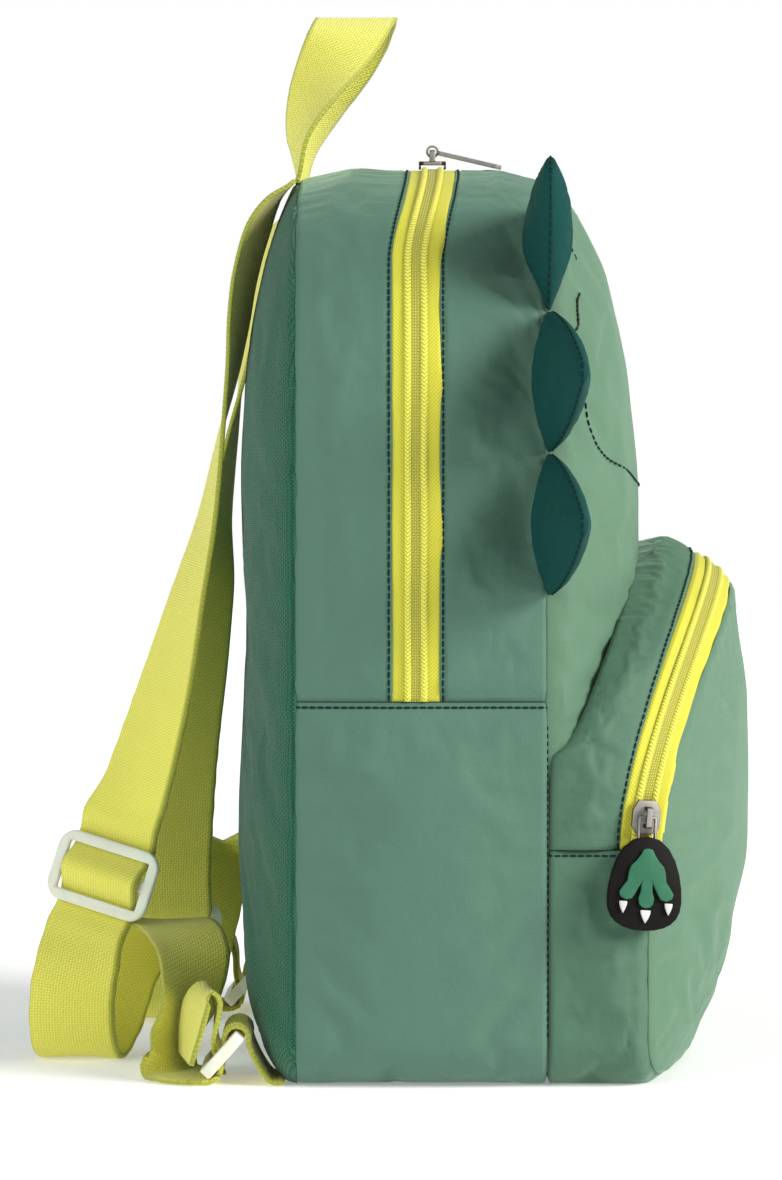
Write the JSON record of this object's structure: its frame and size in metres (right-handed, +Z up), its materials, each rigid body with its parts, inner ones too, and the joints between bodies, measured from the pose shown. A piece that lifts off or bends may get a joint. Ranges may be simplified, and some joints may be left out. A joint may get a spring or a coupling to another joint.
{
  "type": "kids backpack",
  "caption": "Small padded kids' backpack shaped like a dinosaur, with stuffed spikes, a zipped front pocket, a carry handle and webbing shoulder straps.",
  "frame": {"origin": "on the surface the bag stands on, halfway across it and under the middle of its sides", "axes": "+Z up, -Y towards the front pocket, +Y towards the wearer's back, -X towards the wearer's left"},
  "size_m": [0.3258, 0.2523, 0.3668],
  "materials": {
    "side_fabric": "plain woven polyester, soft sheen",
    "front_fabric": "plain woven polyester, soft sheen",
    "back_fabric": "coarse canvas weave, matte",
    "spike_fabric": "soft woven fabric over filling",
    "webbing": "ribbed woven webbing",
    "zip_tape": "fine woven zip tape",
    "zip_coil": "spun coil teeth, satin",
    "milky_plastic": "milky moulded plastic, satin",
    "metal": "plated metal, light wear",
    "charm_black": "soft rubber, matte",
    "charm_green": "soft rubber, matte",
    "charm_white": "soft rubber, matte"
  },
  "bodies": {
    "bag": {"gusset_rear": "side_fabric", "gusset_front": "side_fabric", "gusset_lower": "side_fabric", "main_zip_tape": "zip_tape", "main_zip_coil": "zip_coil", "back_panel": "back_fabric", "front_panel": "front_fabric", "pocket_gusset_upper": "front_fabric", "pocket_zip_tape": "zip_tape", "pocket_zip_coil": "zip_coil", "pocket_gusset_lower": "front_fabric", "pocket_panel": "front_fabric", "spike_left_1": "spike_fabric", "spike_left_2": "spike_fabric", "spike_left_3": "spike_fabric", "spike_right_1": "spike_fabric", "spike_right_2": "spike_fabric", "spike_right_3": "spike_fabric", "carry_handle": "webbing", "shoulder_strap_left": "webbing", "shoulder_strap_right": "webbing", "strap_return_left": "webbing", "strap_return_right": "webbing", "strap_tab_left": "webbing", "strap_tab_right": "webbing", "strap_slider_left": "milky_plastic", "strap_slider_right": "milky_plastic", "strap_ring_left": "milky_plastic", "strap_ring_right": "milky_plastic", "main_slider": "metal", "pocket_slider": "metal"},
    "main_pull": {"main_pull_tab": "metal"},
    "pocket_pull": {"pocket_pull_bail": "metal", "charm_base": "charm_black", "charm_paw": "charm_green", "charm_claw_1": "charm_white", "charm_claw_2": "charm_white", "charm_claw_3": "charm_white"}
  },
  "joints": [
    {"name": "main_pull_hinge", "type": "hinge", "parent": "bag", "child": "main_pull", "pos_m": [-0.03085, -0.0145, 0.31649], "axis": [-0.9965, 0, -0.0831], "range_deg": [0, 150]},
    {"name": "pocket_pull_hinge", "type": "hinge", "parent": "bag", "child": "pocket_pull", "pos_m": [-0.12275, -0.08463, 0.08992], "axis": [-0.2177, 0.9725, 0.0828], "range_deg": [0, 100]}
  ]
}
